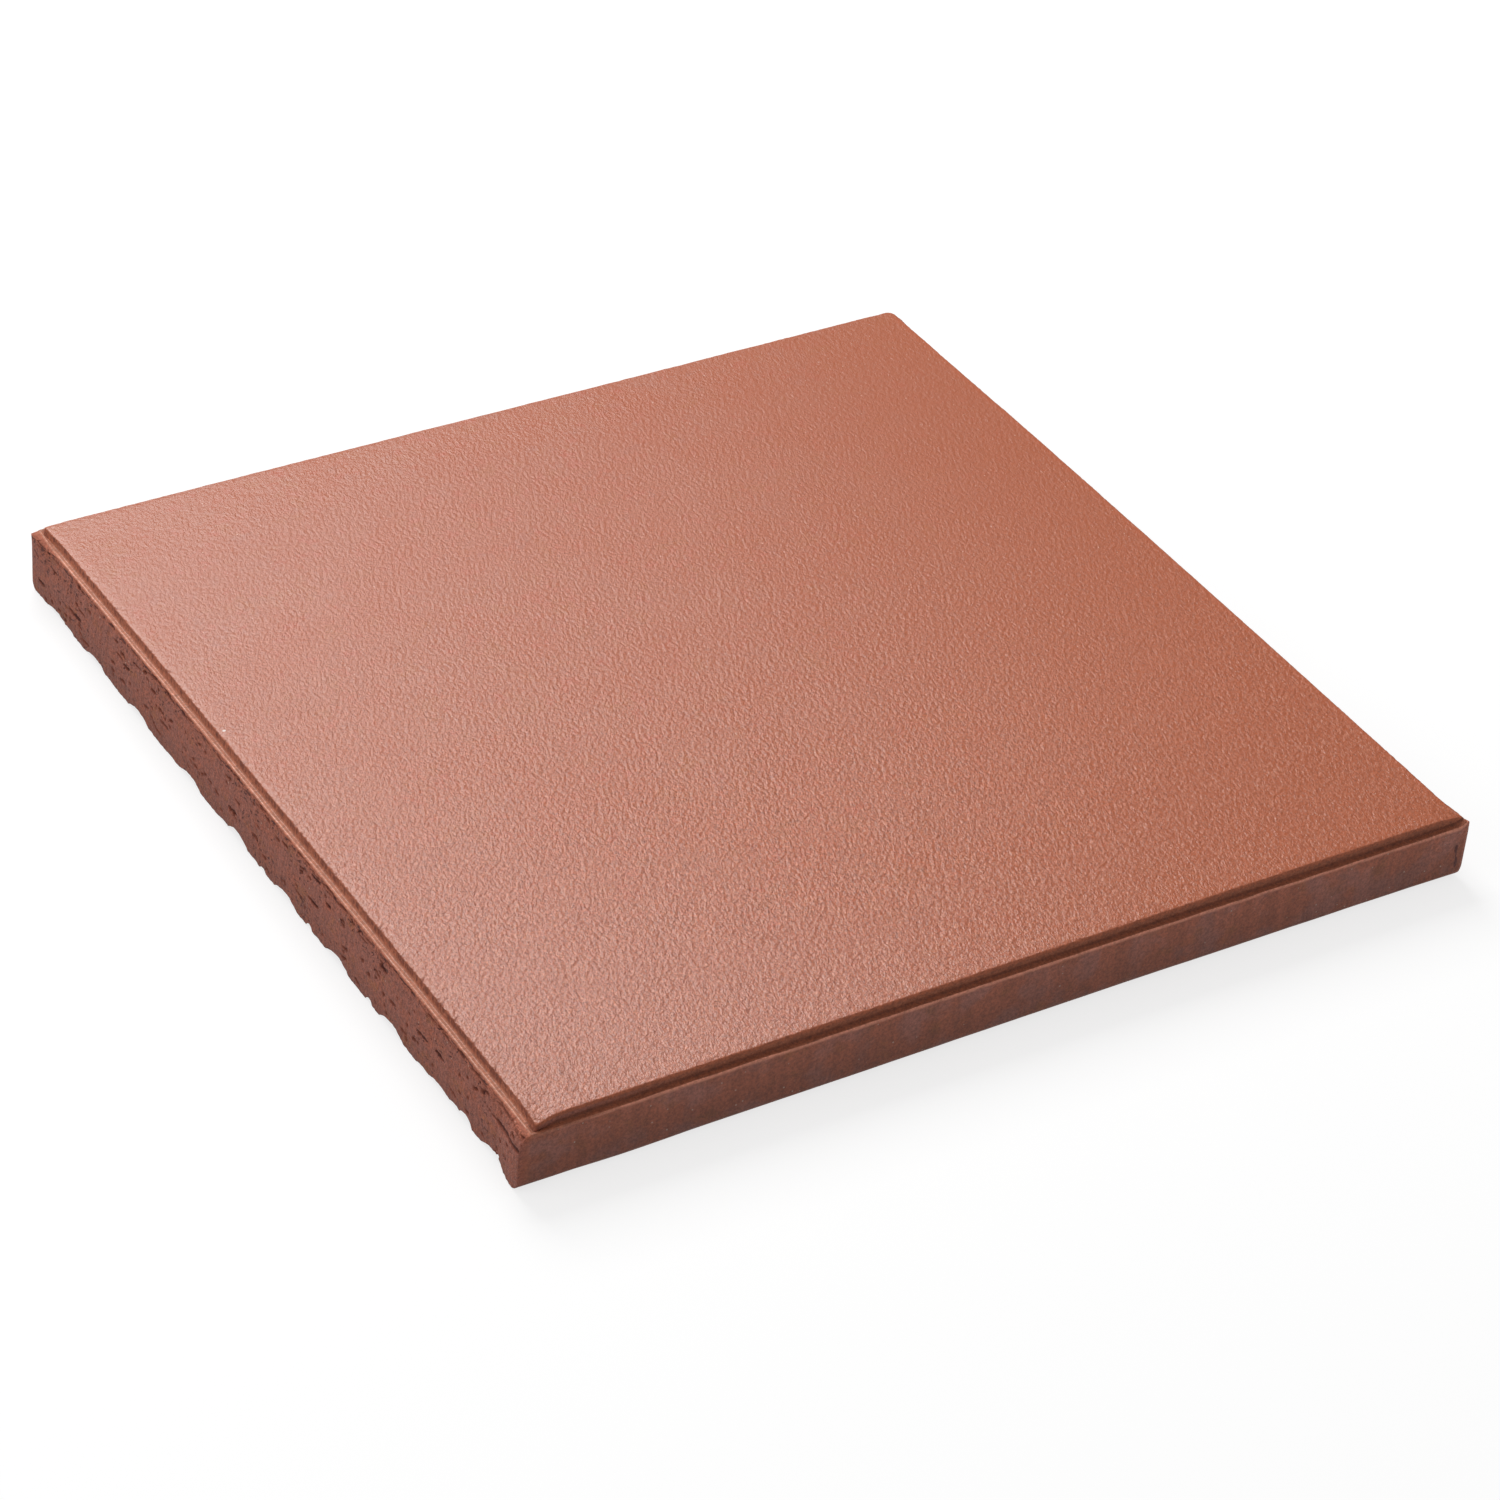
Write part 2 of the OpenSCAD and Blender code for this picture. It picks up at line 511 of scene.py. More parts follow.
def nicked(rings):
    """Share of nick at each point of the rings."""
    share = np.zeros(rings.shape[:2])
    run = CUT_RUNS[:, None]
    at_left_end = rings[..., 0] < 2 - FACE_X
    reach = smooth_step((run + 0.9) / 0.8) * smooth_step((1.6 - run) / 0.8) * at_left_end
    for y, slant in NICKS:
        off = (rings[..., 1] - y - slant * run) / NICK_HALF
        share = np.maximum(share, np.clip(1.3 - np.abs(off), 0, 1) * reach)
    return share


def wear_rings(rings):
    """Chips, burrs and waviness along the arrises of the walking face and the ledge."""
    flat = rings.reshape(-1, 3)
    fine = ruggedness(flat, 0.9, 31).reshape(rings.shape[:2])
    broad = ruggedness(flat, 5.0, 32).reshape(rings.shape[:2])
    drop = FACE_WEAR * 0.07 * fine + LEDGE_WEAR * (0.1 * fine + 0.08 * broad)
    sunk = rings.copy()
    sunk[..., 2] -= drop + NICK_DEPTH * nicked(rings) * (CUT_RUNS[:, None] < 1)
    inward = FACE_WEAR * 0.05 * broad + LEDGE_WEAR * 0.1 * np.maximum(fine, -0.3)
    sunk[..., 0] -= np.sign(rings[..., 0]) * inward * (np.abs(rings[..., 0]) > FACE_X - 1)
    sunk[..., 1] -= np.sign(rings[..., 1]) * inward * (np.abs(rings[..., 1]) > FACE_Y - 1)
    return sunk


def face_grid(edge):
    """Points of the walking face inside its innermost ring."""
    across, back = (np.linspace(-half, half, FACE_CELLS) for half in edge)
    x, y = np.meshgrid(across, back)
    flat = stack(x, y, 0 * x).reshape(-1, 3)
    swell = ruggedness(flat, 28, 41, 2).reshape(x.shape)
    return stack(x, y, TOP_Z - crown_drop(x, y) + 0.03 * swell)


def cut_wall(top, end):
    """Points of a cut end's wall below its top row, and their pits."""
    y = top[None, :, 1]
    share = np.linspace(0, 1, CUT_ROWS + 1)[1:, None] ** 1.25
    foot = underside(np.full_like(y, end * HALF_X), y)
    z = top[None, :, 2] + (foot - top[None, :, 2]) * share
    y = y + 0 * z
    depth, pit = cut_relief(end, y, z)
    from_side = HALF_Y - np.abs(y)
    fade = smooth_step(share / 0.02) * smooth_step(from_side / 0.8)
    out = cut_lean(end, y, share) - broken_foot(end, y, z)
    x = top[None, :, 0] + end * (out - depth * fade)
    return stack(x, y, z), pit * fade


def long_wall(top):
    """Points of a long side's wall below its top row and between its corners."""
    share = np.linspace(0, 1, LONG_ROWS + 1)[1:, None] ** 1.5
    x, y = top[None, :, 0], top[None, :, 1]
    z = top[None, :, 2] + (edge_radius(x) - top[None, :, 2]) * share
    flat = stack(x + 0 * z, y + 0 * z, z).reshape(-1, 3)
    wave = ruggedness(flat, (60, 1, 3), 51).reshape(z.shape)
    return stack(x + 0 * z, y + np.sign(y) * 0.05 * wave, z)


# How far the underside's grid stays inside the left and the right end, and how far round the
# rounding of a long edge its outer rows lie, in degrees
UNDER_INSETS = (1.2, 2.6)
UNDER_TURNS = [20, 42, 66]


def under_grid():
    """Points of the underside inside the walls' feet."""
    turn = np.radians(UNDER_TURNS)
    rounding = HALF_Y - EDGE_R * (1 - np.cos(turn))
    middle = np.linspace(-(HALF_Y - EDGE_R), HALF_Y - EDGE_R, UNDER_ROWS)
    rows = np.concatenate([-rounding, middle, rounding[::-1]])
    left, right = UNDER_INSETS
    columns = np.linspace(-(HALF_X - left), HALF_X - right, UNDER_COLUMNS)
    x, y = np.meshgrid(columns, rows)
    return stack(x, y, underside(x, y))


def grid_sides(numbers):
    """The four border chains of a grid of rows from front to back: front, right, back and left."""
    return [numbers[0, :], numbers[:, -1], numbers[-1, ::-1], numbers[::-1, 0]]


def add_rings(shell):
    """The rings round the walking face: their points' numbers, and the outer ring's points."""
    pairs = zip(CUT_RINGS, LONG_RINGS)
    rings = np.stack([ring_points(number, *pair) for number, pair in enumerate(pairs)])
    nicks = nicked(rings)
    rings = wear_rings(rings)
    ends = cut_share(rings[-1, :, 0], rings[-1, :, 1], HALF_X, HALF_Y)
    runs = LONG_RUNS[:, None] + (CUT_RUNS - LONG_RUNS)[:, None] * ends
    drawn = (rings[-1, :, 0] > 90) & (rings[-1, :, 1] < -97.5)
    numbers = shell.add(rings, pit=nicks, long=np.where(drawn, 1, 1 - ends), run=runs)
    shell.grid(np.concatenate([numbers, numbers[:, :1]], axis=1))
    return numbers, rings[-1]


def add_face(shell, ring):
    """The walking face inside its innermost ring."""
    edge = (FACE_X + CUT_RINGS[0][0] - FACE_GAP, FACE_Y + LONG_RINGS[0][0] - FACE_GAP)
    face = shell.add(face_grid(edge), run=-4)
    shell.grid(face[:, ::-1])
    for chain, border in zip(side_slices(), grid_sides(face)):
        shell.strip(border, ring[chain])


def add_cut_wall(shell, chain, top, end):
    """The wall of a cut end under its top row, as rows of its points' numbers."""
    points, pit = cut_wall(top, end)
    down = top[None, :, 2] - points[..., 2]
    wall = shell.add(points, pit=pit, cut=1, run=CUT_RUNS[-1] + down)
    wall = np.concatenate([chain[None], wall])
    shell.grid(wall)
    return wall


def add_long_wall(shell, chain, top, first, last):
    """The wall of a long side between two cut ends' corners. Gives the numbers of its foot."""
    points = long_wall(top[1:-1])
    down = top[None, 1:-1, 2] - points[..., 2]
    wall = shell.add(points, side=1, long=1, run=LONG_RUNS[-1] + down)
    wall = np.concatenate([chain[None, 1:-1], wall])
    shell.grid(wall)
    shell.strip(first[::-1], wall[::-1, 0])
    shell.strip(wall[::-1, -1], last[::-1])
    return np.concatenate([[first[-1]], wall[-1], [last[-1]]])


def add_underside(shell, feet):
    """The underside inside the walls' feet: front, right, back and left."""
    under = shell.add(under_grid(), side=1, run=TOP_Z)
    shell.grid(under)
    for foot, border in zip(feet, grid_sides(under)):
        shell.strip(foot, border)


def build_tile():
    """The whole tile as one closed mesh."""
    shell = Shell()
    numbers, top = add_rings(shell)
    add_face(shell, numbers[0])
    outer = numbers[-1]
    front, right, back, left = side_slices()
    at_right = add_cut_wall(shell, outer[right], top[right], 1)
    at_left = add_cut_wall(shell, outer[left], top[left], -1)
    near_foot = add_long_wall(shell, outer[front], top[front], at_left[:, -1], at_right[:, 0])
    far_foot = add_long_wall(shell, outer[back], top[back], at_right[:, -1], at_left[:, 0])
    add_underside(shell, (near_foot, at_right[-1], far_foot, at_left[-1]))
    return shell


def make_tile(material):
    """The visible tile, in place of its CAD solid."""
    tile = bpy.data.objects.new("fired_tile", build_tile().mesh("fired_tile"))
    bpy.context.collection.objects.link(tile)
    tile.data.materials.append(material)
    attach(tile, "root")
    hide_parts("tile")


# ---- Materials -----------------------------------------------------------------------------

# Colours of the fired clay, as linear red, green and blue
FACE_WARM = (0.48, 0.116, 0.043)
FACE_PALE = (0.48, 0.130, 0.057)
FACE_OCHRE = (0.46, 0.128, 0.036)
FACE_LILAC = (0.45, 0.140, 0.083)
FACE_RED = (0.52, 0.104, 0.044)
FACE_SPARK = (0.68, 0.40, 0.31)
# Pale grains of the walking face: partly dusty clay, partly painted glints
FACE_DUST_GLINT = (0.65, 0.25, 0.15)
FACE_DARK = (0.30, 0.075, 0.033)
FACE_DEEP = (0.46, 0.102, 0.028)
# Painted sheen: the paler, greyer colour of the walking face towards its near left corner
FACE_PAINTED_SHEEN = (0.52, 0.182, 0.118)
FACE_RUST = (0.52, 0.110, 0.030)
# The cut ends' rims on the face: wear colour, paler and greyer at the left end partly as painted
# sheen
FACE_WORN_SHEEN = (0.54, 0.20, 0.125)
FACE_CHALK = (0.80, 0.72, 0.66)
# A cut end's riser, lighter towards its foot: partly the clay's colour, partly painted bounce light
# off the ledge
RISER_TOP = (0.38, 0.100, 0.043)
RISER_FOOT_LIT = (0.50, 0.155, 0.075)
TICK_DARK = (0.19, 0.038, 0.013)
LEDGE = (0.62, 0.24, 0.145)
# Pale lines on a cut end's ledge: partly from rubbing, partly painted highlight on its ridges
LEDGE_RUBBED_LIT = (0.88, 0.50, 0.38)
# A long side's riser, partly its own colour and partly painted shade, lilac near the left end; its
# recess and ledge painted shade
RISER_LONG_SHADED = (0.38, 0.120, 0.060)
RISER_LILAC_SHADED = (0.36, 0.125, 0.085)
RECESS_SHADE = (0.235, 0.062, 0.026)
LEDGE_LONG_SHADE = (0.31, 0.085, 0.035)
# The pale outer arris of a long side's ledge and the top of its wall: partly wear, partly painted
# highlight
ARRIS_LONG_LIT = (0.96, 0.38, 0.25)
CUT_TOP = (0.47, 0.128, 0.066)
CUT_LILAC = (0.40, 0.127, 0.084)
CUT_WARM = (0.43, 0.123, 0.071)
CUT_OLIVE = (0.42, 0.128, 0.055)
CUT_FLECK = (0.54, 0.118, 0.040)
CUT_SPECK = (0.60, 0.36, 0.28)
# Painted shade in and round the pores, the cracks and the face's nicks
PORE_RIM_SHADE = (0.25, 0.050, 0.019)
PORE_SHADE = (0.105, 0.012, 0.003)
SIDE_WARM = (0.41, 0.128, 0.074)
SIDE_GREY = (0.395, 0.152, 0.113)
SIDE_OLIVE = (0.33, 0.115, 0.050)
SIDE_SPECK = (0.62, 0.44, 0.36)
# Painted shade of the small cracks in the near side
CRACK_SHADE = (0.09, 0.010, 0.003)
# Stains of the walking face: (colour, size, strength)
STAINS = [(FACE_OCHRE, 5.5, 0.6), (FACE_LILAC, 4.0, 0.45), (FACE_RED, 3.2, 0.6)]
# Pale lines along a cut end's ledge, partly from rubbing and partly painted highlight: (distance
# from the face's arris, half width, strength)
RUBBED_LIT_LINES = [(2.15, 0.13, 0.85), (2.8, 0.17, 1.0)]
# The way that the walking face's grain lies, in degrees from +X, how drawn out it is, its
# size, and its height at the back and at the front of the tile
GRAIN_TURN = 65
GRAIN_STRETCH = 1.35
GRAIN_SIZE = 0.78
GRAIN_HEIGHTS = (0.21, 0.36)
# How the clay takes the light, on the walking face and past its arris
CLAY_IOR = 1.6
FACE_ROUGHNESS = 0.40
EDGE_ROUGHNESS = 0.72
# Pores of the left end whose half length times half height is over this get painted shade inside
BIG_PORE = 0.34

# A chalky chip in the walking face, and small cracks in the near side painted dark as shade: (x, y,
# z), half sizes
FACE_CHIP = ((-97.3, 22.4, 14.6), (0.4, 0.28, 9))
SIDE_CRACKS = [
    ((98.7, -100, 7.3), (0.4, 2, 1.0)), ((99.2, -100, 4.0), (0.4, 2, 1.3)),
    ((98.9, -100, 5.7), (0.15, 2, 1.0)),
]

# The floor's colour to the light, and its colour and glow to the eye
FLOOR_LIT = (0.35, 0.35, 0.35)
FLOOR_SEEN = (0.31, 0.31, 0.31)
FLOOR_GLOW = 0.74


class Nodes:
    """Short ways to add and join the nodes of one material. Lengths in it are millimetres."""

    def __init__(self, name):
        self.material = bpy.data.materials.new(name)
        self.material.use_nodes = True
        self.tree = self.material.node_tree
        self.tree.nodes.clear()

    def add(self, kind, settings=(), feeds=()):
        """A new node with its settings, and its sockets fed by values or by other sockets."""
        node = self.tree.nodes.new(kind)
        for name, value in dict(settings).items():
            setattr(node, name, value)
        for socket, value in dict(feeds).items():
            if isinstance(value, bpy.types.NodeSocket):
                self.tree.links.new(value, node.inputs[socket])
            else:
                node.inputs[socket].default_value = value
        return node

    def places(self):
        """Where each point is, in millimetres."""
        coordinates = self.add("ShaderNodeTexCoord").outputs["Object"]
        return self.scaled(coordinates, (1 / MM,) * 3)

    def vector(self, operation, first, second=(0, 0, 0), output=0):
        """A sum with vectors."""
        feeds = {0: first, 1: second}
        return self.add("ShaderNodeVectorMath", {"operation": operation}, feeds).outputs[output]

    def scaled(self, vector, factors):
        """Places drawn out or in along each axis."""
        return self.vector("MULTIPLY", vector, factors)

    def laid(self, vector, turn, stretch):
        """Places for a noise whose lumps are drawn out along a way turned from +X, in degrees."""
        feeds = {"Vector": vector, "Rotation": (0, 0, math.radians(turn)), "Scale": (stretch, 1, 1)}
        return self.add("ShaderNodeMapping", {"vector_type": "TEXTURE"}, feeds).outputs[0]

    def along(self, places, axis):
        """Where each point is along X, Y or Z."""
        return self.add("ShaderNodeSeparateXYZ", {}, {0: places}).outputs[axis]

    def shifted(self, vector, by):
        """Places moved by a distance along each axis."""
        return self.vector("ADD", vector, by)

    def noise(self, places, size, detail=2.0, roughness=0.5):
        """Noise from about 0.2 to 0.8, with lumps about size mm wide."""
        feeds = {"Vector": places, "Scale": 1 / size, "Detail": detail, "Roughness": roughness}
        return self.add("ShaderNodeTexNoise", {}, feeds).outputs["Fac"]

    def mark(self, name):
        """One of the mesh's marks."""
        return self.add("ShaderNodeAttribute", {"attribute_name": name}).outputs["Fac"]

    def ramp(self, value, low, high, to_low=0.0, to_high=1.0):
        """Eases a value between low and high into to_low to to_high."""
        settings = {"interpolation_type": "SMOOTHSTEP"}
        feeds = {"Value": value, "From Min": low, "From Max": high}
        feeds |= {"To Min": to_low, "To Max": to_high}
        return self.add("ShaderNodeMapRange", settings, feeds).outputs[0]

    def math(self, operation, first, second=0.0, third=0.0):
        """A sum with plain values."""
        feeds = {0: first, 1: second, 2: third}
        return self.add("ShaderNodeMath", {"operation": operation}, feeds).outputs[0]

    def mix(self, share, first, second):
        """Mixes two colours."""
        feeds = {0: share, 6: self.colour(first), 7: self.colour(second)}
        return self.add("ShaderNodeMix", {"data_type": "RGBA"}, feeds).outputs[2]

    def tinted(self, colour, amount):
        """A colour with its brightness times an amount."""
        settings = {"data_type": "RGBA", "blend_type": "MULTIPLY"}
        feeds = {0: 1.0, 6: self.colour(colour), 7: amount}
        return self.add("ShaderNodeMix", settings, feeds).outputs[2]

    def specks(self, places, spacing, size, share):
        """Small round specks of about size mm, in a share of the cells of spacing mm."""
        cells = self.add("ShaderNodeTexVoronoi", {}, {"Vector": places, "Scale": 1 / spacing})
        near = self.ramp(cells.outputs["Distance"], size / spacing, 0.4 * size / spacing)
        drawn = self.add("ShaderNodeSeparateColor", {}, {0: cells.outputs["Color"]}).outputs[0]
        return self.math("MULTIPLY", near, self.math("LESS_THAN", drawn, share))

    def spot(self, places, centre, size):
        """1 inside an upright egg shape of the given half sizes, with a soft rim."""
        off = self.shifted(places, [-at for at in centre])
        off = self.scaled(off, [1 / half for half in size])
        return self.ramp(self.vector("LENGTH", off, output="Value"), 1.15, 0.8)

    @staticmethod
    def colour(value):
        """A colour as a socket takes it."""
        return value if isinstance(value, bpy.types.NodeSocket) else (*value, 1.0)


def stained_clay(nodes, places, across, back, kiln):
    """The face's clay: soft stains, deeper at the right end, and painted sheen at the near left
    corner.
    """
    cloud = nodes.noise(places, 16, 3.0)
    colour = nodes.mix(nodes.ramp(cloud, 0.35, 0.65), FACE_WARM, FACE_PALE)
    for stain, size, most in STAINS:
        spot = nodes.noise(nodes.shifted(places, (31 * size, 0, 0)), size, 3.0, 0.6)
        colour = nodes.mix(nodes.ramp(spot, 0.54, 0.72, 0, most), colour, stain)
    colour = nodes.mix(nodes.ramp(kiln, -20, 100, 0, 0.9), colour, FACE_DEEP)
    # Painted sheen: the face turns paler and greyer towards the near left corner
    sheen_corner = nodes.math("ADD", across, back)
    return nodes.mix(nodes.ramp(sheen_corner, -60, -180, 0, 0.9), colour, FACE_PAINTED_SHEEN)


def grained(nodes, places, colour, back, kiln):
    """The face's clay with its dark hollows and pale grains, partly dusty and partly painted
    glints, which show most in front.
    """
    laid = nodes.laid(places, GRAIN_TURN, GRAIN_STRETCH)
    rough = nodes.ramp(back, 90, -90, 0.15, 1.0)
    rough = nodes.math("MULTIPLY", rough, nodes.ramp(kiln, 0, 110, 1, 0.6))
    hollow = nodes.noise(nodes.shifted(laid, (0, 53, 0)), 0.85, 4.0, 0.75)
    hollow = nodes.math("MULTIPLY", nodes.ramp(hollow, 0.47, 0.34, 0, 0.75), rough)
    colour = nodes.mix(hollow, colour, FACE_DARK)
    # Pale grains: partly dusty clay, partly painted glints of the light off the grain
    dust_and_glint = nodes.noise(laid, 0.65, 4.0, 0.75)
    dust_and_glint = nodes.math("MULTIPLY", nodes.ramp(dust_and_glint, 0.48, 0.62, 0, 0.7), rough)
    colour = nodes.mix(dust_and_glint, colour, FACE_DUST_GLINT)
    sand = nodes.noise(nodes.shifted(laid, (0, 0, 19)), 0.42, 2.0, 0.8)
    sand = nodes.math("SUBTRACT", sand, 0.5)
    sand = nodes.math("MULTIPLY_ADD", sand, nodes.math("MULTIPLY", rough, 1.5), 1.0)
    tint = nodes.math("MULTIPLY", sand, nodes.ramp(back, 90, -90, 0.93, 0.98))
    return nodes.tinted(colour, tint)


def face_colour(nodes, places, run, long):
    """The walking face: stained and grained clay with sparks, a chip, and cut edges paled by wear
    and, at the left, by painted sheen.
    """
    across, back = nodes.along(places, "X"), nodes.along(places, "Y")
    kiln = nodes.math("MULTIPLY_ADD", back, -0.4, across)
    colour = stained_clay(nodes, places, across, back, kiln)
    colour = grained(nodes, places, colour, back, kiln)
    colour = nodes.mix(nodes.specks(places, 1.3, 0.17, 0.25), colour, FACE_SPARK)
    colour = nodes.mix(nodes.spot(places, *FACE_CHIP), colour, FACE_CHALK)
    at_cut = nodes.math("SUBTRACT", 1.0, long)
    rim = nodes.math("MULTIPLY", at_cut, nodes.ramp(run, -2.2, -0.4, 0, 0.5))
    # The cut ends' rims: wear colour, paler and greyer at the left end partly as painted sheen
    rubbed_and_lit = nodes.mix(nodes.ramp(across, -50, 50), FACE_WORN_SHEEN, FACE_RUST)
    return nodes.mix(rim, colour, rubbed_and_lit)


def cut_edge_colour(nodes, places, run, waver):
    """The riser and ledge of a cut end: ticked at the top, foot partly lit by painted bounce light,
    ledge paled by rubbing and painted highlight.
    """
    # Lighter towards the riser's foot, partly as painted bounce light off the ledge
    colour = nodes.mix(nodes.ramp(run, 0.4, 1.3), RISER_TOP, RISER_FOOT_LIT)
    colour = nodes.mix(nodes.ramp(run, 1.4, 1.95), colour, LEDGE)
    broken = nodes.ramp(nodes.noise(places, 2.6, 3.0, 0.6), 0.38, 0.56, 0.4, 1.0)
    # Pale lines along the ledge: partly from rubbing, partly painted highlight on its ridges
    for line, half, strength in RUBBED_LIT_LINES:
        off = nodes.math("ABSOLUTE", nodes.math("ADD", waver, -line))
        rubbed_and_lit = nodes.math("MULTIPLY", nodes.ramp(off, half, 0.05, 0, strength), broken)
        colour = nodes.mix(rubbed_and_lit, colour, LEDGE_RUBBED_LIT)
    tick = nodes.noise(nodes.scaled(places, (0.25, 1, 0.25)), 0.9, 2.0, 0.6)
    tick = nodes.math("ADD", tick, nodes.ramp(nodes.along(places, "Y"), 60, -60, -0.04, 0.05))
    tick = nodes.math("MULTIPLY", nodes.ramp(tick, 0.5, 0.57), nodes.ramp(run, 1.7, 0.9))
    tick = nodes.math("MULTIPLY", tick, nodes.ramp(run, 0.0, 0.3, 0.3, 1.0))
    colour = nodes.mix(nodes.math("MULTIPLY", tick, 0.9), colour, TICK_DARK)
    return nodes.mix(nodes.ramp(run, 2.95, 3.2), colour, CUT_TOP)


def long_edge_colour(nodes, places, run, waver):
    """The riser and ledge of a long side, darkened as painted shade, with a pale arris of wear and
    painted highlight.
    """
    near_left = nodes.ramp(nodes.along(places, "X"), -60, -97)
    # Painted shade: the long side's riser, recess and ledge are darkened
    riser = nodes.mix(near_left, RISER_LONG_SHADED, RISER_LILAC_SHADED)
    colour = nodes.mix(nodes.ramp(run, 0.3, 1.0), FACE_PALE, riser)
    colour = nodes.mix(nodes.ramp(run, 1.2, 1.85), colour, RECESS_SHADE)
    colour = nodes.mix(nodes.ramp(run, 1.9, 2.2), colour, LEDGE_LONG_SHADE)
    # The ledge's outer arris: paler from wear and partly painted highlight
    worn_and_lit = nodes.ramp(near_left, 0.5, 1, 0.9, 0.3)
    worn_and_lit = nodes.math("MULTIPLY", nodes.ramp(waver, 2.95, 3.2), worn_and_lit)
    return nodes.mix(worn_and_lit, colour, ARRIS_LONG_LIT)


def edge_colour(nodes, places, run, long):
    """The riser and the ledge round the walking face."""
    waver = nodes.noise(places, 9, 4.0)
    waver = nodes.math("MULTIPLY_ADD", waver, 0.5, nodes.math("ADD", run, -0.25))
    at_cut = cut_edge_colour(nodes, places, run, waver)
    colour = nodes.mix(long, at_cut, long_edge_colour(nodes, places, run, waver))
    grit = nodes.noise(places, 0.6, 3.0, 0.75)
    return nodes.tinted(colour, nodes.ramp(grit, 0.28, 0.72, 0.68, 1.28))


def cut_colour(nodes, places, run, hole):
    """The cut ends: torn clay in dull patches, with grit and pale specks, darker at the foot and in
    pores as painted shade.
    """
    torn = nodes.scaled(places, (1, 0.6, 1))
    patch = nodes.noise(torn, 3.2, 4.0, 0.65)
    colour = nodes.mix(nodes.ramp(patch, 0.45, 0.62), CUT_LILAC, CUT_WARM)
    olive = nodes.noise(nodes.shifted(torn, (0, 77, 0)), 3.6, 4.0, 0.65)
    colour = nodes.mix(nodes.ramp(olive, 0.54, 0.66, 0, 0.8), colour, CUT_OLIVE)
    fleck = nodes.noise(nodes.shifted(torn, (0, 31, 0)), 1.0, 3.0, 0.7)
    colour = nodes.mix(nodes.ramp(fleck, 0.57, 0.68, 0, 0.4), colour, CUT_FLECK)
    colour = nodes.mix(nodes.ramp(run, 4.8, 3.6), colour, CUT_TOP)
    grit = nodes.noise(places, 0.55, 3.0, 0.75)
    colour = nodes.tinted(colour, nodes.ramp(grit, 0.28, 0.72, 0.58, 1.36))
    # Painted shade: the cut ends darken towards their foot
    colour = nodes.tinted(colour, nodes.ramp(run, 9.0, 14.5, 1.0, 0.84))
    colour = nodes.mix(nodes.specks(places, 1.9, 0.22, 0.25), colour, CUT_SPECK)
    # Painted shade in the pores, the torn pits and the cracks
    colour = nodes.mix(nodes.ramp(hole, 0.0, 0.4), colour, PORE_RIM_SHADE)
    return nodes.mix(nodes.ramp(hole, 0.45, 0.75), colour, PORE_SHADE)


def cut_holes(nodes, places, run):
    """Small torn pits of the cut ends, and the cracks just under their arris, that the colour
    paints dark as shade.
    """
    torn = nodes.scaled(places, (1, 0.6, 1))
    seldom = nodes.ramp(nodes.noise(places, 11, 2.0), 0.35, 0.65, 0.04, -0.03)
    more_above = nodes.ramp(run, 8.0, 3.5, 0, 0.035)
    pits = nodes.noise(torn, 0.65, 2.0, 0.6)
    pits = nodes.math("ADD", pits, nodes.math("SUBTRACT", more_above, seldom))
    small = nodes.ramp(pits, 0.64, 0.67, 0, 0.8)
    crack = nodes.noise(nodes.scaled(places, (1, 0.3, 1.6)), 0.8, 2.0)
    band = nodes.math("MULTIPLY", nodes.ramp(run, 3.3, 3.5), nodes.ramp(run, 4.5, 3.8))
    torn_off = nodes.math("MULTIPLY", nodes.ramp(crack, 0.53, 0.6, 0, 0.8), band)
    calm = nodes.ramp(nodes.along(places, "Y"), -80, -99, 1.0, 0.35)
    return nodes.math("MULTIPLY", nodes.math("MAXIMUM", small, torn_off), calm)


def drawn_streaks(nodes, places):
    """Noise in upright streaks, for the long sides."""
    return nodes.noise(nodes.scaled(places, (1, 1, 0.07)), 1.8, 2.0)


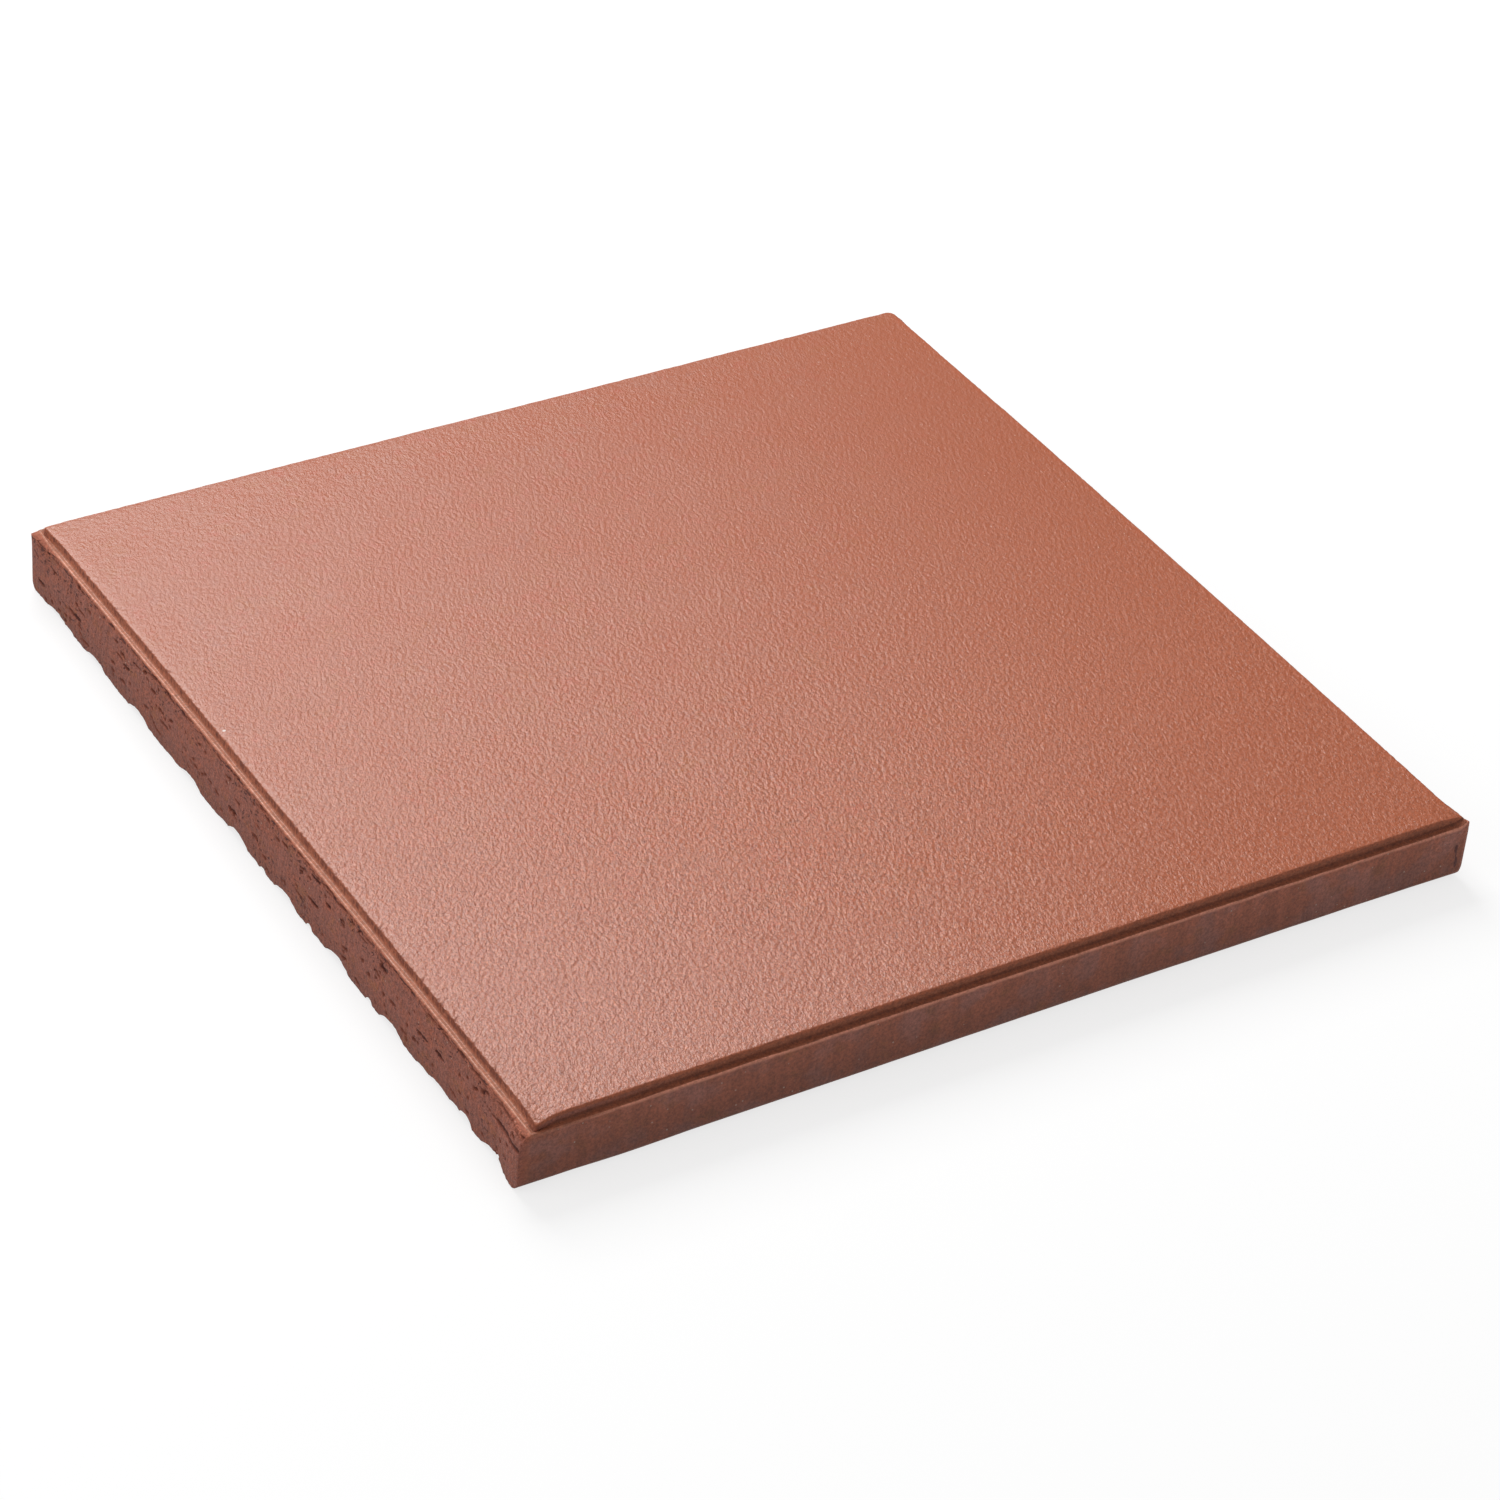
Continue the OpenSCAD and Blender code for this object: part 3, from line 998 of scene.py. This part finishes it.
def side_colour(nodes, places, run):
    """The long sides and the underside: drawn clay with streaks, smudges and pale specks, darker
    low down as painted shade.
    """
    streak = drawn_streaks(nodes, places)
    smudge = nodes.noise(places, 9, 3.0, 0.6)
    colour = nodes.mix(nodes.ramp(smudge, 0.44, 0.62), SIDE_WARM, SIDE_GREY)
    olive = nodes.noise(nodes.shifted(places, (61, 0, 0)), 5, 4.0, 0.65)
    colour = nodes.mix(nodes.ramp(olive, 0.52, 0.7, 0, 0.7), colour, SIDE_OLIVE)
    colour = nodes.tinted(colour, nodes.ramp(streak, 0.3, 0.7, 0.9, 1.1))
    grit = nodes.noise(places, 0.6, 3.0, 0.75)
    colour = nodes.tinted(colour, nodes.ramp(grit, 0.28, 0.72, 0.68, 1.32))
    # Painted shade: darker towards the foot of the wall and on the underside
    colour = nodes.tinted(colour, nodes.ramp(run, 4.5, 13.5, 1.0, 0.72))
    colour = nodes.tinted(colour, nodes.ramp(nodes.along(places, "X"), 0, 90, 1.0, 1.1))
    colour = nodes.mix(nodes.specks(places, 1.7, 0.22, 0.35), colour, SIDE_SPECK)
    # A pale band along the top of the wall: partly wear, partly painted highlight on the arris
    worn_and_lit = nodes.ramp(nodes.noise(places, 4.0, 3.0, 0.65), 0.4, 0.6, 0.4, 1.0)
    rubbed_and_lit = nodes.math("MULTIPLY", nodes.ramp(run, 4.0, 3.35), worn_and_lit)
    off_corner = nodes.ramp(nodes.along(places, "X"), -98, -84, 0.25, 1.0)
    rubbed_and_lit = nodes.math("MULTIPLY", rubbed_and_lit, off_corner)
    colour = nodes.mix(rubbed_and_lit, colour, ARRIS_LONG_LIT)
    # Small cracks, painted dark as shade
    for place, size in SIDE_CRACKS:
        colour = nodes.mix(nodes.spot(places, place, size), colour, CRACK_SHADE)
    return colour


def relief(nodes, places, cut, side, hole):
    """Height of the fine grain in millimetres."""
    laid = nodes.laid(places, GRAIN_TURN, GRAIN_STRETCH)
    grain = nodes.noise(laid, GRAIN_SIZE, 2.0, 0.62)
    grit = nodes.noise(places, 0.55, 3.0, 0.65)
    streak = drawn_streaks(nodes, places)
    deeper_in_front = nodes.ramp(nodes.along(places, "Y"), 90, -90, *GRAIN_HEIGHTS)
    flatter_at_right = nodes.ramp(nodes.along(places, "X"), 0, 90, 1.0, 0.8)
    face = nodes.math("MULTIPLY", grain, deeper_in_front)
    face = nodes.math("MULTIPLY", face, flatter_at_right)
    torn = nodes.math("MULTIPLY", hole, -0.12)
    torn = nodes.math("MULTIPLY_ADD", grit, 0.4, torn)
    drawn = nodes.math("MULTIPLY", grit, 0.16)
    drawn = nodes.math("MULTIPLY_ADD", streak, 0.05, drawn)
    height = nodes.math("MULTIPLY_ADD", cut, nodes.math("SUBTRACT", torn, face), face)
    return nodes.math("MULTIPLY_ADD", side, nodes.math("SUBTRACT", drawn, height), height)


def add_big_pores(nodes, places, hole):
    """The share of hole, which is painted dark as shade, with the insides of the left end's biggest
    pores added to it.
    """
    for y, z, half_long, half_high in LEFT_PORES:
        if half_long * half_high > BIG_PORE:
            pore = nodes.spot(places, (-HALF_X, y, z), (4, half_long, half_high + 0.05))
            hole = nodes.math("MAXIMUM", hole, pore)
    return hole


def past_face(nodes, places, run, long):
    """0 on the walking face and 1 past its arris, which is frayed more at the cut ends."""
    frayed = nodes.noise(nodes.scaled(places, (0.5, 1, 0.5)), 0.9, 3.0, 0.65)
    frayed = nodes.math("ADD", frayed, -0.5)
    frayed = nodes.math("MULTIPLY", frayed, nodes.math("MULTIPLY_ADD", long, -1.2, 1.6))
    return nodes.ramp(nodes.math("ADD", run, frayed), -0.2, 0.06)


def clay_material():
    """Fired clay: a grainy walking face, ledges, smooth drawn sides and torn cut ends."""
    nodes = Nodes("fired_clay")
    places = nodes.places()
    pit, cut, side, long, run = (nodes.mark(name) for name in MARKS)
    hole = nodes.math("MULTIPLY", cut_holes(nodes, places, run), cut)
    hole = nodes.math("MAXIMUM", pit, hole)
    hole = add_big_pores(nodes, places, hole)

    edge = past_face(nodes, places, run, long)
    face = face_colour(nodes, places, run, long)
    colour = nodes.mix(edge, face, edge_colour(nodes, places, run, long))
    # Painted shade in the nicks and pits of the edges, by their share of pit
    colour = nodes.mix(nodes.math("MULTIPLY", pit, 0.9), colour, PORE_RIM_SHADE)
    colour = nodes.mix(side, colour, side_colour(nodes, places, run))
    colour = nodes.mix(cut, colour, cut_colour(nodes, places, run, hole))

    feeds = {"Strength": 1.0, "Distance": MM, "Height": relief(nodes, places, cut, side, hole)}
    bump = nodes.add("ShaderNodeBump", {}, feeds)
    matt = nodes.ramp(edge, 0, 1, FACE_ROUGHNESS, EDGE_ROUGHNESS)
    feeds = {"Base Color": colour, "Roughness": matt, "IOR": CLAY_IOR, "Normal": bump.outputs[0]}
    shader = nodes.add("ShaderNodeBsdfPrincipled", {}, feeds)
    nodes.add("ShaderNodeOutputMaterial", {}, {0: shader.outputs[0]})
    return nodes.material


def floor_material():
    """Plain and mid grey to the light, but white to the eye, where it keeps the tile's shadow."""
    nodes = Nodes("floor_paint")
    path = nodes.add("ShaderNodeLightPath").outputs
    seen = nodes.math("MAXIMUM", path["Is Camera Ray"], path["Is Glossy Ray"])
    seen = nodes.math("MAXIMUM", seen, path["Is Transmission Ray"])
    paper = nodes.add("ShaderNodeBsdfDiffuse", {}, {"Color": (*FLOOR_SEEN, 1)}).outputs[0]
    feeds = {"Color": (1, 1, 1, 1), "Strength": FLOOR_GLOW}
    glow = nodes.add("ShaderNodeEmission", {}, feeds).outputs[0]
    white = nodes.add("ShaderNodeAddShader", {}, {0: paper, 1: glow}).outputs[0]
    plain = nodes.add("ShaderNodeBsdfDiffuse", {}, {"Color": (*FLOOR_LIT, 1)}).outputs[0]
    mixed = nodes.add("ShaderNodeMixShader", {}, {0: seen, 1: plain, 2: white}).outputs[0]
    nodes.add("ShaderNodeOutputMaterial", {}, {0: mixed})
    return nodes.material


# ---- Stage ---------------------------------------------------------------------------------

# Half the floor's width, in metres
FLOOR_REACH = 4.0


def make_floor():
    """A wide pale floor that the tile lies on."""
    mesh = bpy.data.meshes.new("floor")
    corners = [(-1, -1), (1, -1), (1, 1), (-1, 1)]
    points = [(FLOOR_REACH * x, FLOOR_REACH * y, 0) for x, y in corners]
    mesh.from_pydata(points, [], [(0, 1, 2, 3)])
    mesh.materials.append(floor_material())
    floor = bpy.data.objects.new("floor", mesh)
    bpy.context.collection.objects.link(floor)


# The camera looks at a point of the walking face, from the near left. Its lens is in
# millimetres and its nearest and farthest sight in metres.
AIM = Vector((-11.8, -24.9, TOP_Z)) * MM
CAMERA_DISTANCE = 893.25 * MM
CAMERA_AZIMUTH = math.radians(-34.242)
CAMERA_ELEVATION = math.radians(36.14)
CAMERA_ROLL = math.radians(5.33)
LENS = 114.88
CAMERA_CLIP = (0.05, 20)


def outward(azimuth, elevation):
    """Unit vector from the tile towards a direction: azimuth 0 is the front, 90 the right end."""
    flat = math.cos(elevation)
    return Vector((math.sin(azimuth) * flat, -math.cos(azimuth) * flat, math.sin(elevation)))


def make_camera():
    """The camera at the photo's viewpoint."""
    data = bpy.data.cameras.new("camera")
    data.lens = LENS
    camera = bpy.data.objects.new("camera", data)
    bpy.context.collection.objects.link(camera)
    back = outward(CAMERA_AZIMUTH, CAMERA_ELEVATION)
    place = Matrix.Translation(AIM + back * CAMERA_DISTANCE)
    turn = (-back).to_track_quat("-Z", "Y").to_matrix().to_4x4()
    camera.matrix_world = place @ turn @ Matrix.Rotation(CAMERA_ROLL, 4, "Z")
    data.clip_start, data.clip_end = CAMERA_CLIP
    bpy.context.scene.camera = camera


# Soft studio light: an even sky and square lamps, each with its azimuth and elevation in
# degrees, its distance and size in metres, and its power in watts
SKY = 0.38
LAMPS = {
    "key": (176, 48, 1.0, 0.6, 7.35),
    "side": (262, 33, 1.0, 0.5, 1.35),
}


def soft_light(name, azimuth, elevation, distance, size, power):
    """A square light that shines on the tile from a direction, given as the camera's is."""
    data = bpy.data.lights.new(name, "AREA")
    data.size = size
    data.energy = power
    light = bpy.data.objects.new(name, data)
    bpy.context.collection.objects.link(light)
    back = outward(math.radians(azimuth), math.radians(elevation))
    light.location = back * distance
    light.rotation_euler = (-back).to_track_quat("-Z", "Y").to_euler()


def make_world():
    """An even white sky."""
    world = bpy.data.worlds.new("studio")
    bpy.context.scene.world = world
    world.use_nodes = True
    sky = world.node_tree.nodes["Background"].inputs
    sky["Color"].default_value = (1, 1, 1, 1)
    sky["Strength"].default_value = SKY


make_camera()
make_tile(clay_material())
make_floor()
make_world()
for lamp, placing in LAMPS.items():
    soft_light(lamp, *placing)
bpy.context.scene.view_settings.view_transform = "Standard"
